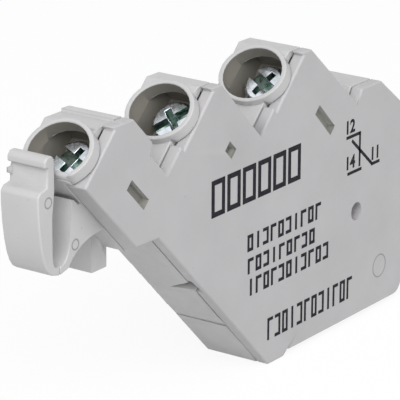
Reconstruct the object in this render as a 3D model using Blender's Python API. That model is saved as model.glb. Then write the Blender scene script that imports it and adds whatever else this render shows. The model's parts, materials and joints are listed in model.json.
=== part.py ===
"""Auxiliary contact block: a slim changeover contact with three screw terminals and a spring clip.

The block stands on its lower edge. X runs along it, away from the clip, Y runs from the front cover to
the back, and Z is up. The origin is the middle of the flat lower edge. The three screw ports step down
to the right at 45 degrees, so most places are given on two slanted axes that start at the mouth of the
middle port: u runs up and to the right, along the steps, and v runs up and to the left, out of the ports.
A port's own axes are s, which is u from its centre line, and t, which is the depth below its mouth.
"""
import math

import bmesh
import bpy
from mathutils import Matrix, Vector

MM = 0.001
ROOT2 = math.sqrt(2)

# Whole block
THICKNESS = 9.3 * MM
FIT_GAP = 0.3 * MM
FINE_GAP = 0.1 * MM
BACK_WALL = 1.2 * MM
CLEAR_CUT = 1.0 * MM
JOIN_INSET = 0.05 * MM

# Staircase of ports
MOUTH_X = -33.0 * MM
MOUTH_Z = 35.85 * MM
PITCH = 13.55 * MM
TOP_RISE = 2.0 * MM
TREAD_DROP = 1.05 * MM
RISER_OFFSET = 5.6 * MM
FIRST_RISER_EXTRA = 1.35 * MM
FIRST_RISER_JOG = 9.4 * MM
TOP_BAR_WIDTH = 1.45 * MM
TOP_BAR_PROUD = 0.35 * MM

# Outline of the body
LEFT_WALL = 3.7 * MM
LOWER_EDGE_U = -14.3 * MM
UNDERSIDE_Z = 20.9 * MM
UNDERSIDE_SLOPE = 1.4 * MM
LIP_DROP = 0.7 * MM
LIP_LENGTH = 3.4 * MM
LIP_SLOPE = 1.0 * MM
TAIL_RUN = 10.8 * MM
TAIL_DROP = 9.5 * MM
TAIL_RISE = 1.7 * MM
TAIL_LEAN = 1.0 * MM
TAIL_FLAT = 4.5 * MM
TAIL_SLOPE_RUN = 5.0 * MM
TAIL_SLOPE_DROP = 3.9 * MM
TAIL_BEVEL = 0.9 * MM
CORNER_RADIUS = 1.8 * MM
CORNER_STEPS = 5

# Front cover
COVER_PLATE = 1.5 * MM
COVER_RIM_DEPTH = 2.65 * MM
COVER_RIM_WALL = 0.9 * MM
PORT_NOTCH_DROP = 1.9 * MM
PORT_NOTCH_HALF = 4.0 * MM
WINDOW_WIDTH = 1.4 * MM
WINDOW_LENGTHS = (4.6 * MM, 1.9 * MM, 5.0 * MM)
WINDOW_DEPTHS = (8.8 * MM, 9.2 * MM, 9.5 * MM)
WINDOW_SHIFT = 0.9 * MM
WINDOW_SINK = 1.1 * MM
HOLE_RADIUS = 1.2 * MM
HOLE_FROM_RIGHT = 11.3 * MM
HOLE_Z = 14.0 * MM

# Screw ports
PORT_BORE = 4.0 * MM
PORT_OVAL = 0.8875
PORT_SHIFT = -0.45 * MM
COLLAR_LEFT = 3.55 * MM
PORT_SLIT = 0.25 * MM
PORT_LEDGE = 2.2 * MM
CHAMBER_HALF = 3.85 * MM
CHAMBER_FLOOR = 5.8 * MM
SHELF = 0.8 * MM
THIN_WALL = 0.6 * MM
LEFT_CHAMBER_WALL = 0.8 * MM

# Terminal screws
HEAD_DEPTH = 3.2 * MM
HEAD_RADIUS = 2.7 * MM
HEAD_HEIGHT = 2.3 * MM
HEAD_CHAMFER = 0.35 * MM
SHANK_RADIUS = 1.45 * MM
SHANK_LENGTH = 4.1 * MM
THREAD_GAP = 0.08 * MM
SHANK_CLEARANCE = 0.35 * MM
SLOT_WIDTH = 1.3 * MM
SLOT_DEPTH = 1.2 * MM
CROSS_WIDTH = 0.8 * MM
CROSS_LENGTH = 3.4 * MM
CROSS_DEPTH = 1.6 * MM
SCREW_TURNS = (22, -45, 26)

# Rising cages
CAGE_TRAVEL = 1.9 * MM
CAGE_HALF = 2.4 * MM
CAGE_HALF_DEPTH = 2.5 * MM
CAGE_WALL = 0.7 * MM
CAGE_ROOF = 1.0 * MM
WIRE_ROOM = 2.3 * MM
ENTRY_FLARE = 0.5 * MM
ENTRY_FLARE_DEPTH = 1.0 * MM

# Conductor strips: a plate through each cage, and a flat run along the back wall
STRIP_THICK = 0.8 * MM
STRIP_HALF_WIDTH = 1.4 * MM
STRIP_OVERHANG = 0.6 * MM
NECK_PLACE = 3.2 * MM
NECK_WIDTH = 0.7 * MM
RUN_THICK = 0.5 * MM
RUN_WIDTH = 1.2 * MM
RUN_GAP = 0.15 * MM
RUN_ABOVE_SWITCH = 1.6 * MM
TAB_THICK = 0.5 * MM
TAB_LENGTH = 2.0 * MM

# Snap switch: m runs from its top end along -v, n runs from its terminal side along -u
SWITCH_U = -2.6 * MM
SWITCH_V = -16.8 * MM
SWITCH_LENGTH = 12.8 * MM
SWITCH_HEIGHT = 6.5 * MM
SWITCH_WALL = 0.8 * MM
LID_THICK = 0.5 * MM
TAIL_REACH = 3.0 * MM
TAIL_INSET = 1.3 * MM
TERMINAL_THICK = 0.5 * MM
TERMINAL_HALF_WIDTH = 1.2 * MM
PLUNGER_OFFSET = 0.5 * MM
PLUNGER_RADIUS = 0.9 * MM
PLUNGER_FLANGE = 1.3 * MM
PLUNGER_FLANGE_THICK = 0.8 * MM
PLUNGER_PROUD = 0.6 * MM
LEAF_THICK = 0.25 * MM
LEAF_LEVEL = 3.3 * MM
LEAF_START = 1.0 * MM
LEAF_SHORT = 2.2 * MM
CONTACT_INSET = 1.0 * MM
CONTACT_RADIUS = 0.8 * MM
CONTACT_THICK = 0.4 * MM
CONTACT_NECK = 0.4 * MM
CONTACT_TRAVEL = 0.85 * MM
LEAF_PIVOT = 2.0 * MM
LEAF_HALF_WIDTH = 1.0 * MM

# Actuator lever
LEVER_PIVOT_INSET = 1.4 * MM
LEVER_REACH = 11.4 * MM
LEVER_THICK = 1.2 * MM
LEVER_BOSS = 1.5 * MM
LEVER_BUMP = 0.5 * MM
LEVER_BUMP_HALF = 0.6 * MM
PIN_RADIUS = 0.7 * MM
PIN_SEAT = 0.6 * MM
PIN_GAP = 0.08 * MM
LOWER_WALL = 1.2 * MM
NOSE_LENGTH = 2.3 * MM
NOSE_WINDOW = ((2.6 * MM, 6.0 * MM), (-0.9 * MM, 0.9 * MM), (1.6 * MM, 0.15 * MM))
LEVER_ROOM = 0.4 * MM

# Clip, measured from the left corner of the left tower's cover
CLIP_DEPTH = 5.4 * MM
SLOT_LEFT = 2.15 * MM
SLOT_RIGHT = 1.3 * MM
SLOT_DROP = 9.45 * MM
SLOT_FOOT_RIGHT = 0.8 * MM
SLOT_FOOT_DROP = 7.0 * MM
SLOT_TURN_RIGHT = 0.55 * MM
SLOT_FOOT_LEFT_DROP = 7.9 * MM
U_THICK = 1.0 * MM
SPLIT_LEFT = 1.1 * MM
CURVE_STEPS = 6
CORNER_CURVE_STEPS = 3
ARM_LEAN = 0.4 * MM
ARM_LEAN_HIGH_DROP = 0.4 * MM
ARM_LEAN_LOW_DROP = 3.4 * MM
ARM_RISE = 3.95 * MM
ARM_CORNER = 0.45 * MM
NECK_TOP_THICK = 1.1 * MM
NECK_FOOT_THICK = 1.4 * MM
NECK_FOOT_RISE = 0.4 * MM
RIDGE_THICK = 1.75 * MM
RIDGE_HEIGHT = 1.35 * MM
RIDGE_ROUND = 0.5 * MM
BLOCK_LEFT = 4.8 * MM
BLOCK_ROUND = 0.5 * MM
BLOCK_RISE = 0.15 * MM
BLOCK_TALL = 1.9 * MM
ARM_TURN_LEFT = 4.35 * MM
ARM_TURN_DROP = 9.6 * MM
ARM_FOOT_LEFT = 2.3 * MM
ARM_FOOT_DROP = 10.15 * MM
TOOTH_DEPTH = 0.5 * MM
TOOTH_PROUD = 0.75 * MM
TOOTH_TOP_RISE = 2.0 * MM
TOOTH_LOW_RISE = 0.8 * MM
INNER_ARM_DROP = 1.95 * MM
INNER_ARM_GAP = 0.35 * MM
WEB_TOP_DROP = 2.95 * MM
WEB_FOOT_DROP = 7.25 * MM
WEB_ROOT = 0.6 * MM
WEB_TURN_RIGHT = 2.6 * MM
WEB_TURN_DROP = 7.3 * MM
WEB_END_RIGHT = 0.6 * MM
WEB_END_DROP = 10.1 * MM
LEG_WIDTH = 2.9 * MM
LEG_DEPTH = 3.55 * MM
LEG_LENGTH = 2.6 * MM
LEG_OUTSET = 2.5 * MM
LEG_ROOT = 3.4 * MM

# Ribs on the slanted lower face
RIB_PITCH = 2.6 * MM
RIB_STEP = 0.15 * MM
RIB_COUNT = 5
RIB_START = 8.0 * MM

# Pockets that keep the walls of the moulding even
RELIEF_WALL = 1.4 * MM
RELIEF_TOP = 11.0 * MM
RELIEF_NEAR_LEVER = 3.4 * MM
UPPER_RELIEF_LOW = 17.0 * MM
UPPER_RELIEF_HIGH = 25.0 * MM
UPPER_RELIEF_WIDTH = 11.0 * MM

# Facets round a full turn
PORT_SIDES = 32
SCREW_SIDES = 20
SMALL_SIDES = 14

# Planes and levels worked out from the sizes above
FRONT = -THICKNESS / 2
BACK = THICKNESS / 2
COVER_BACK = FRONT + COVER_PLATE
RIM_BACK = FRONT + COVER_RIM_DEPTH
BASE_FRONT = COVER_BACK + FIT_GAP
BAY_BACK = BACK - BACK_WALL
OPEN_FRONT = BASE_FRONT - CLEAR_CUT
COLLAR_RADIUS = THICKNESS / 2 - JOIN_INSET
TOP_Z = MOUTH_Z + TOP_RISE
LEFT_EDGE_U = -PITCH - LEFT_WALL
SHANK_TIP = HEAD_DEPTH + HEAD_HEIGHT + SHANK_LENGTH
CAGE_TOP = CHAMBER_FLOOR + SHELF + CAGE_TRAVEL + FINE_GAP
STRIP_TOP = SHANK_TIP + FIT_GAP
STRIP_BOTTOM = STRIP_TOP + STRIP_THICK
CAGE_FLOOR = STRIP_BOTTOM + WIRE_ROOM
CAGE_BOTTOM = CAGE_FLOOR + CAGE_WALL
ENTRY_HALF_DEPTH = CAGE_HALF_DEPTH - CAGE_WALL
RUN_BACK = BAY_BACK - RUN_GAP
RUN_FRONT = RUN_BACK - RUN_THICK
SWITCH_FRONT = BASE_FRONT + FIT_GAP
SWITCH_BACK = BAY_BACK - FIT_GAP
CASE_FRONT = SWITCH_FRONT + LID_THICK + FINE_GAP
SWITCH_MIDDLE = (CASE_FRONT + SWITCH_BACK - SWITCH_WALL) / 2
TAIL_PLACES = (TAIL_INSET, SWITCH_LENGTH / 2, SWITCH_LENGTH - TAIL_INSET)
PLUNGER_PLACE = SWITCH_LENGTH / 2 - PLUNGER_OFFSET
LEAF_END = SWITCH_LENGTH - LEAF_SHORT
CONTACT_PLACE = LEAF_END - CONTACT_INSET
LEVER_PIVOT_M = SWITCH_LENGTH - LEVER_PIVOT_INSET
LEVER_END = LEVER_PIVOT_M - LEVER_REACH
LEAF_TOP = LEAF_LEVEL + LEAF_THICK
OPEN_ARM_TOP = LEAF_LEVEL - 2 * CONTACT_THICK - 2 * FINE_GAP - CONTACT_TRAVEL
CLOSED_ARM_BOTTOM = LEAF_TOP + 2 * CONTACT_THICK + 2 * FINE_GAP + FIT_GAP
PLUNGER_TOP = SWITCH_HEIGHT + PLUNGER_PROUD
LEVER_BOTTOM = PLUNGER_TOP + FIT_GAP + LEVER_BUMP
LEVER_PIVOT_N = LEVER_BOTTOM + LEVER_THICK / 2
LOWER_FACE_N = SWITCH_U - LOWER_EDGE_U
LEVER_FRONT = SWITCH_FRONT + FIT_GAP
LEVER_BACK = BAY_BACK - 3 * FIT_GAP
CLIP_FRONT = RIM_BACK + FIT_GAP
CLIP_BACK = CLIP_FRONT + CLIP_DEPTH


def slanted(u, v):
    """Place in the X-Z plane of a point given on the two slanted axes."""
    return MOUTH_X + (u - v) / ROOT2, MOUTH_Z + (u + v) / ROOT2


def at_height(u, z):
    """Point on the slanted line of constant u at height z."""
    return slanted(u, (z - MOUTH_Z) * ROOT2 - u)


def port_centre(index):
    """Slanted coordinates of the mouth of port 0, 1 or 2, from left to right."""
    return (index - 1) * PITCH, (1 - index) * PITCH


def in_port(index, s, t):
    """Point in the X-Z plane from a port's own axes."""
    u, v = port_centre(index)
    return slanted(u + s, v - t)


def in_switch(m, n):
    """Point in the X-Z plane from the snap switch's own axes."""
    return slanted(SWITCH_U - n, SWITCH_V - m)


def rectangle(place, low_1, high_1, low_2, high_2):
    """Corners of a rectangle on a pair of slanted axes, where place turns them into X and Z."""
    corners = ((low_1, low_2), (high_1, low_2), (high_1, high_2), (low_1, high_2))
    return [place(first, second) for first, second in corners]


def in_this_port(index):
    """The in_port function of one port."""
    return lambda s, t: in_port(index, s, t)


def arc(centre, radius, start, end, steps):
    """Points of a round corner in the X-Z plane, with angles in degrees from +X towards +Z."""
    points = []
    for step in range(steps + 1):
        angle = math.radians(start + (end - start) * step / steps)
        points.append((centre[0] + radius * math.cos(angle), centre[1] + radius * math.sin(angle)))
    return points


def clear_scene():
    """Remove every object, so that the script can be run again."""
    for item in list(bpy.data.objects):
        bpy.data.objects.remove(item, do_unlink=True)


def material(name, colour, roughness, metallic):
    """Plain Principled material."""
    made = bpy.data.materials.new(name)
    made.use_nodes = True
    shader = made.node_tree.nodes["Principled BSDF"]
    shader.inputs["Base Color"].default_value = (*colour, 1.0)
    shader.inputs["Roughness"].default_value = roughness
    shader.inputs["Metallic"].default_value = metallic
    return made


def add_object(name, mesh_builder, origin=(0, 0, 0)):
    """Object from a filled bmesh, with its origin at the given place."""
    mesh = bpy.data.meshes.new(name)
    bmesh.ops.recalc_face_normals(mesh_builder, faces=mesh_builder.faces)
    mesh_builder.transform(Matrix.Translation(-Vector(origin)))
    mesh_builder.to_mesh(mesh)
    mesh_builder.free()
    made = bpy.data.objects.new(name, mesh)
    made.location = origin
    bpy.context.scene.collection.objects.link(made)
    return made


def fill_prism(builder, outline, low, high):
    """Add an outline in the X-Z plane to a bmesh, extruded from y low to y high."""
    ring = [builder.verts.new((x, low, z)) for x, z in outline]
    face = builder.faces.new(ring)
    extruded = bmesh.ops.extrude_face_region(builder, geom=[face])
    moved = [item for item in extruded["geom"] if isinstance(item, bmesh.types.BMVert)]
    bmesh.ops.translate(builder, verts=moved, vec=(0, high - low, 0))


def prism(name, outline, low, high, origin=(0, 0, 0)):
    """Object made of one extruded outline."""
    builder = bmesh.new()
    fill_prism(builder, outline, low, high)
    return add_object(name, builder, origin)


def fill_turned(builder, start, direction, profile, sides):
    """Add a turned solid to a bmesh: profile is (distance along direction, radius) from end to end."""
    axis = Vector(direction).normalized()
    across = axis.cross(Vector((0, 1, 0)))
    if across.length < 0.5:
        across = Vector((1, 0, 0))
    across.normalize()
    other = axis.cross(across)
    rings = []
    for distance, radius in profile:
        ring = []
        for side in range(sides):
            angle = 2 * math.pi * (side + 0.5) / sides
            offset = across * math.cos(angle) + other * math.sin(angle)
            ring.append(builder.verts.new(Vector(start) + axis * distance + offset * radius))
        rings.append(ring)
    for lower, upper in zip(rings, rings[1:]):
        for side in range(sides):
            after = (side + 1) % sides
            builder.faces.new((lower[side], lower[after], upper[after], upper[side]))
    builder.faces.new(rings[0])
    builder.faces.new(rings[-1])


def turned(name, start, direction, profile, sides, origin=(0, 0, 0)):
    """Object made of one turned solid."""
    builder = bmesh.new()
    fill_turned(builder, start, direction, profile, sides)
    return add_object(name, builder, origin)


def combine(target, tool, operation):
    """Boolean of a target with a tool object, which stays as a hidden guide."""
    modifier = target.modifiers.new(f"{operation.lower()} {tool.name}", "BOOLEAN")
    modifier.operation = operation
    modifier.solver = "EXACT"
    modifier.object = tool
    tool.hide_render = True
    tool.display_type = "WIRE"
    tool.hide_set(True)


def finish(target, finish_material, smooth=True):
    """Give a piece its material, and shade its round faces smooth."""
    target.data.materials.append(finish_material)
    if smooth:
        target.data.shade_smooth()
        target.data.set_sharp_from_angle(angle=math.radians(30))


def port_direction():
    """Unit vector out of the ports."""
    return Vector((-1, 0, 1)).normalized()


def step_direction():
    """Unit vector along the steps, up and to the right."""
    return Vector((1, 0, 1)).normalized()


def port_point(index, s, t, y=0.0):
    """Point in space from a port's own axes."""
    x, z = in_port(index, s, t)
    return Vector((x, y, z))


def switch_point(m, n, y):
    """Point in space from the switch's own axes."""
    x, z = in_switch(m, n)
    return Vector((x, y, z))


def riser_u(index):
    """Slanted coordinate of the right side of a tower's top."""
    extra = FIRST_RISER_EXTRA if index == 0 else 0
    return port_centre(index)[0] + RISER_OFFSET + extra


def tower_outline(index, notched):
    """Points over the top of one tower, from its left end to the foot of the jog in its riser."""
    u, v = port_centre(index)
    tread = v - TREAD_DROP
    left = LEFT_EDGE_U if index == 0 else u - PITCH + RISER_OFFSET
    points = []
    if notched:
        notch = v - PORT_NOTCH_DROP
        notch_left = max(left, u - PORT_NOTCH_HALF)
        if index > 0:
            points += [slanted(left, tread), slanted(notch_left, tread)]
        points += [slanted(notch_left, notch), slanted(u + PORT_NOTCH_HALF, notch)]
        points.append(at_height(u + PORT_NOTCH_HALF, TOP_Z))
    else:
        low_top = tower_top(index)
        top_u = (low_top - MOUTH_Z) * ROOT2 - tread
        points += [slanted(left, tread), slanted(top_u, tread)]
        if index == 0:
            bar_x = at_height(riser_u(0), TOP_Z)[0] - TOP_BAR_WIDTH
            points += [(bar_x, low_top), (bar_x, TOP_Z)]
    points.append(at_height(riser_u(index), TOP_Z))
    if index == 0:
        jog = v - FIRST_RISER_JOG
        points += [slanted(riser_u(0), jog), slanted(u + RISER_OFFSET, jog - FIRST_RISER_EXTRA / 2)]
    return points


def body_outline(notch):
    """Outline of the block in the X-Z plane, clockwise from the lower left corner of the left tower."""
    points = [at_height(LEFT_EDGE_U, UNDERSIDE_Z)]
    for index in range(3):
        points += tower_outline(index, notch)
    ridge_x, ridge_z = at_height(riser_u(2), TOP_Z)
    notch_x = ridge_x + TAIL_RUN
    notch_z = ridge_z - TAIL_DROP
    tail_x = notch_x + TAIL_LEAN
    tail_z = notch_z + TAIL_RISE
    slope_x = tail_x + TAIL_FLAT
    right = slope_x + TAIL_SLOPE_RUN + TAIL_BEVEL
    points += [(notch_x, notch_z), (tail_x, tail_z), (slope_x, tail_z)]
    bevel_z = tail_z - TAIL_SLOPE_DROP
    points += [(right - TAIL_BEVEL, bevel_z), (right, bevel_z - TAIL_BEVEL)]
    points += arc((right - CORNER_RADIUS, CORNER_RADIUS), CORNER_RADIUS, 0, -90, CORNER_STEPS)
    lip_x = at_height(LOWER_EDGE_U, -LIP_DROP)[0]
    points += [(lip_x + LIP_LENGTH + LIP_SLOPE, 0), (lip_x + LIP_LENGTH, -LIP_DROP), (lip_x, -LIP_DROP)]
    points.append(at_height(LOWER_EDGE_U, UNDERSIDE_Z))
    return points


def right_edge():
    """X of the block's right edge."""
    ridge_x = at_height(riser_u(2), TOP_Z)[0]
    return ridge_x + TAIL_RUN + TAIL_LEAN + TAIL_FLAT + TAIL_SLOPE_RUN + TAIL_BEVEL


def hole_place():
    """Centre of the locating hole."""
    return right_edge() - HOLE_FROM_RIGHT, HOLE_Z


def tower_corner():
    """Left corner of the left tower's cover, from which the clip is measured."""
    return slanted(LEFT_EDGE_U, PITCH - PORT_NOTCH_DROP)


def curve(start, control, end, steps):
    """Points of a quadratic curve in the X-Z plane, both ends included."""
    points = []
    for step in range(steps + 1):
        share = step / steps
        near = Vector(start).lerp(Vector(control), share)
        far = Vector(control).lerp(Vector(end), share)
        points.append(tuple(near.lerp(far, share)))
    return points


def band(path, half, extra=0.0):
    """Outline in the X-Z plane of a band along a slanted path with right-angled turns."""
    points = [Vector(point) for point in path]
    steps = [(after - before).normalized() for before, after in zip(points, points[1:])]
    points[0] -= steps[0] * extra
    points[-1] += steps[-1] * extra
    sides = [Vector((-step.y, step.x)) * half for step in steps]
    offsets = [sides[0]] + [first + second for first, second in zip(sides, sides[1:])] + [sides[-1]]
    left = [point + offset for point, offset in zip(points, offsets)]
    right = [point - offset for point, offset in zip(points, offsets)]
    return [slanted(*point) for point in left + right[::-1]]


def trim(builder, point, normal):
    """Cut a bmesh at a plane, drop what lies on the normal's side, and close it."""
    geometry = builder.verts[:] + builder.edges[:] + builder.faces[:]
    cut = bmesh.ops.bisect_plane(builder, geom=geometry, plane_co=point, plane_no=normal, clear_outer=True)
    rim = [item for item in cut["geom_cut"] if isinstance(item, bmesh.types.BMEdge)]
    bmesh.ops.edgeloop_fill(builder, edges=rim)


def cut_block(target, name, outline, low, high):
    """Cut an extruded outline out of a target."""
    combine(target, prism(f"guide_{name}", outline, low, high), "DIFFERENCE")


def join_block(target, name, outline, low, high):
    """Add an extruded outline to a target."""
    combine(target, prism(f"guide_{name}", outline, low, high), "UNION")


def cut_hole(target, name, start, direction, radius, length, sides):
    """Cut a round hole into a target."""
    tool = turned(f"guide_{name}", start, direction, [(0, radius), (length, radius)], sides)
    combine(target, tool, "DIFFERENCE")


def port_cylinder(index, low, high, radius, left_limit):
    """Bmesh of an oval cylinder on a port's axis, from depth low to depth high, cut flat on its left.

    It is narrower along the steps than across the block, and its middle lies a little below the screw's axis.
    """
    builder = bmesh.new()
    profile = [(0, radius), (high - low, radius)]
    fill_turned(builder, port_point(index, 0, low), -port_direction(), profile, PORT_SIDES)
    along = step_direction()
    for vert in builder.verts:
        offset = (vert.co - port_point(index, 0, 0)).dot(along)
        vert.co += along * (offset * (PORT_OVAL - 1) + PORT_SHIFT)
    if left_limit > -radius:
        trim(builder, port_point(index, left_limit, 0), -step_direction())
    return builder


def tower_top(index):
    """Level of the top of a tower beside its collar."""
    return TOP_Z - TOP_BAR_PROUD if index == 0 else TOP_Z


def join_collar(base, index):
    """Oval collar of a port, whose upper side stands out of the top of its tower."""
    left_limit = -COLLAR_LEFT if index == 0 else -THICKNESS
    builder = port_cylinder(index, 0, PORT_NOTCH_DROP - PORT_SLIT, COLLAR_RADIUS, left_limit)
    combine(base, add_object(f"guide_collar_{index + 1}", builder), "UNION")


def cut_port(base, index):
    """Oval mouth, screw chamber, shank hole, cage pocket and wire entry of one port."""
    name = f"{index + 1}"
    place = in_this_port(index)
    mouth_left = THIN_WALL - COLLAR_LEFT if index == 0 else -THICKNESS
    chamber_left = LEFT_CHAMBER_WALL - LEFT_WALL if index == 0 else -CHAMBER_HALF
    mouth = port_cylinder(index, -CLEAR_CUT, PORT_LEDGE, PORT_BORE, mouth_left)
    combine(base, add_object(f"guide_mouth_{name}", mouth), "DIFFERENCE")
    outline = rectangle(place, chamber_left, CHAMBER_HALF, PORT_LEDGE - FINE_GAP, CHAMBER_FLOOR)
    cut_block(base, f"chamber_{name}", outline, OPEN_FRONT, BAY_BACK)
    start = port_point(index, 0, CHAMBER_FLOOR - CLEAR_CUT)
    radius = SHANK_RADIUS + SHANK_CLEARANCE
    cut_hole(base, f"shank_{name}", start, -port_direction(), radius, SHELF + 2 * CLEAR_CUT, SCREW_SIDES)
    side = CAGE_HALF + FIT_GAP
    outline = rectangle(place, -side, side, CHAMBER_FLOOR + SHELF, CAGE_BOTTOM + FIT_GAP)
    cut_block(base, f"pocket_{name}", outline, OPEN_FRONT, CAGE_HALF_DEPTH + FIT_GAP)
    outline = rectangle(place, 0, RISER_OFFSET + CLEAR_CUT, STRIP_BOTTOM, CAGE_FLOOR)
    cut_block(base, f"entry_{name}", outline, -ENTRY_HALF_DEPTH, ENTRY_HALF_DEPTH)
    flare_s = RISER_OFFSET - ENTRY_FLARE_DEPTH
    high_s = RISER_OFFSET + CLEAR_CUT
    outline = rectangle(place, flare_s, high_s, STRIP_BOTTOM - ENTRY_FLARE, CAGE_FLOOR + ENTRY_FLARE)
    depth = ENTRY_HALF_DEPTH + ENTRY_FLARE
    cut_block(base, f"flare_{name}", outline, -depth, depth)


def run_path(index):
    """Slanted middle line of a strip's flat run, from its cage to the switch's tail."""
    port_u, port_v = port_centre(index)
    start_u = port_u + NECK_PLACE
    start_v = port_v - STRIP_TOP - JOIN_INSET
    tab_u = SWITCH_U + TAIL_REACH + FIT_GAP + JOIN_INSET
    tail_v = SWITCH_V - TAIL_PLACES[index]
    if index > 0:
        return [(start_u, start_v), (start_u, tail_v), (tab_u, tail_v)]
    level_v = SWITCH_V + RUN_ABOVE_SWITCH
    drop_u = tab_u + RUN_WIDTH / 2
    end_v = tail_v - TAB_LENGTH / 2 + JOIN_INSET
    return [(start_u, start_v), (start_u, level_v), (drop_u, level_v), (drop_u, end_v)]


def cut_strip_channels(base, index):
    """Slots that hold a conductor strip, open to the front like all pockets of the moulding."""
    low_s = -CAGE_HALF - STRIP_OVERHANG - RUN_GAP
    high_s = NECK_PLACE + NECK_WIDTH / 2
    outline = rectangle(in_this_port(index), low_s, high_s, STRIP_TOP - FINE_GAP, STRIP_BOTTOM + FINE_GAP)
    cut_block(base, f"seat_{index + 1}", outline, OPEN_FRONT, STRIP_HALF_WIDTH + FINE_GAP)
    outline = band(run_path(index), RUN_WIDTH / 2 + RUN_GAP, RUN_GAP)
    cut_block(base, f"channel_{index + 1}", outline, OPEN_FRONT, BAY_BACK)


def cut_switch_bay(base):
    """Bay of the snap switch and its tails, and of the lever beside it."""
    end_m = SWITCH_LENGTH + FIT_GAP
    tail_n = -TAIL_REACH - TAB_THICK - 2 * FIT_GAP
    outline = rectangle(in_switch, -FIT_GAP, end_m, tail_n, SWITCH_HEIGHT + FIT_GAP)
    cut_block(base, "switch_bay", outline, OPEN_FRONT, BAY_BACK)
    low_m = LEVER_END - LEVER_ROOM
    high_m = LEVER_PIVOT_M + LEVER_BOSS + LEVER_ROOM
    outline = rectangle(in_switch, low_m, high_m, SWITCH_HEIGHT, LOWER_FACE_N - LOWER_WALL)
    cut_block(base, "lever_bay", outline, OPEN_FRONT, BAY_BACK)
    seat = switch_point(LEVER_PIVOT_M, LEVER_PIVOT_N, BAY_BACK - CLEAR_CUT)
    cut_hole(base, "pin_seat", seat, (0, 1, 0), PIN_RADIUS + PIN_GAP, PIN_SEAT + CLEAR_CUT, SMALL_SIDES)


def nose_window(target, name):
    """Three-cornered window in the slanted lower face, in front of the lever's nose."""
    builder = bmesh.new()
    outside = LOWER_FACE_N + CLEAR_CUT
    inside = LOWER_FACE_N - LOWER_WALL - FINE_GAP
    ring = [builder.verts.new(switch_point(LEVER_END + m, outside, FRONT + y)) for m, y in NOSE_WINDOW]
    face = builder.faces.new(ring)
    extruded = bmesh.ops.extrude_face_region(builder, geom=[face])
    moved = [item for item in extruded["geom"] if isinstance(item, bmesh.types.BMVert)]
    bmesh.ops.translate(builder, verts=moved, vec=step_direction() * (outside - inside))
    combine(target, add_object(f"guide_window_{name}", builder), "DIFFERENCE")


def cut_underside(target, name):
    """Slope under the left tower, which rises from the cover's rim to its front edge."""
    left_x = tower_corner()[0]
    low_z = UNDERSIDE_Z - CLEAR_CUT
    front_y = FRONT - CLEAR_CUT
    front_z = UNDERSIDE_Z + UNDERSIDE_SLOPE * (RIM_BACK - front_y) / COVER_RIM_DEPTH
    builder = bmesh.new()
    ends = []
    for y, z in ((front_y, front_z), (RIM_BACK, UNDERSIDE_Z)):
        corners = [(left_x, low_z), at_height(LOWER_EDGE_U, low_z), at_height(LOWER_EDGE_U, z), (left_x, z)]
        ends.append([builder.verts.new((x, y, corner_z)) for x, corner_z in corners])
    near, far = ends
    builder.faces.new(near)
    builder.faces.new(far)
    for side in range(len(near)):
        after = (side + 1) % len(near)
        builder.faces.new((near[side], near[after], far[after], far[side]))
    combine(target, add_object(f"guide_underside_{name}", builder), "DIFFERENCE")


def cut_ribs(base):
    """Saw-toothed grip steps on the slanted lower face."""
    top_v = (UNDERSIDE_Z - MOUTH_Z) * ROOT2 - LOWER_EDGE_U - RIB_START
    outline = []
    for count in range(RIB_COUNT):
        high_v = top_v - count * RIB_PITCH
        outline += [slanted(LOWER_EDGE_U + RIB_STEP, high_v), slanted(LOWER_EDGE_U, high_v - RIB_PITCH)]
    outline.append(slanted(LOWER_EDGE_U - CLEAR_CUT, top_v - RIB_COUNT * RIB_PITCH))
    outline.append(slanted(LOWER_EDGE_U - CLEAR_CUT, top_v))
    cut_block(base, "ribs", outline, OPEN_FRONT, BACK + CLEAR_CUT)


def cut_reliefs(base):
    """Pockets in the thick lower right part."""
    inner_u = LOWER_EDGE_U + RELIEF_WALL
    high_v = SWITCH_V - SWITCH_LENGTH - RELIEF_NEAR_LEVER
    right = right_edge() - RELIEF_WALL
    top_u = (RELIEF_TOP - MOUTH_Z) * ROOT2 - high_v
    outline = [at_height(inner_u, RELIEF_WALL), (right, RELIEF_WALL), (right, RELIEF_TOP)]
    outline += [slanted(top_u, high_v), slanted(inner_u, high_v)]
    cut_block(base, "lower_relief", outline, OPEN_FRONT, BAY_BACK)
    left = right - UPPER_RELIEF_WIDTH
    outline = [(left, UPPER_RELIEF_LOW), (right, UPPER_RELIEF_LOW)]
    outline += [(right, UPPER_RELIEF_HIGH), (left, UPPER_RELIEF_HIGH)]
    cut_block(base, "upper_relief", outline, OPEN_FRONT, BAY_BACK)


def from_corner(x, z):
    """Point in the X-Z plane from the left corner of the left tower's cover."""
    corner_x, corner_z = tower_corner()
    return corner_x + x, corner_z + z


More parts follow.
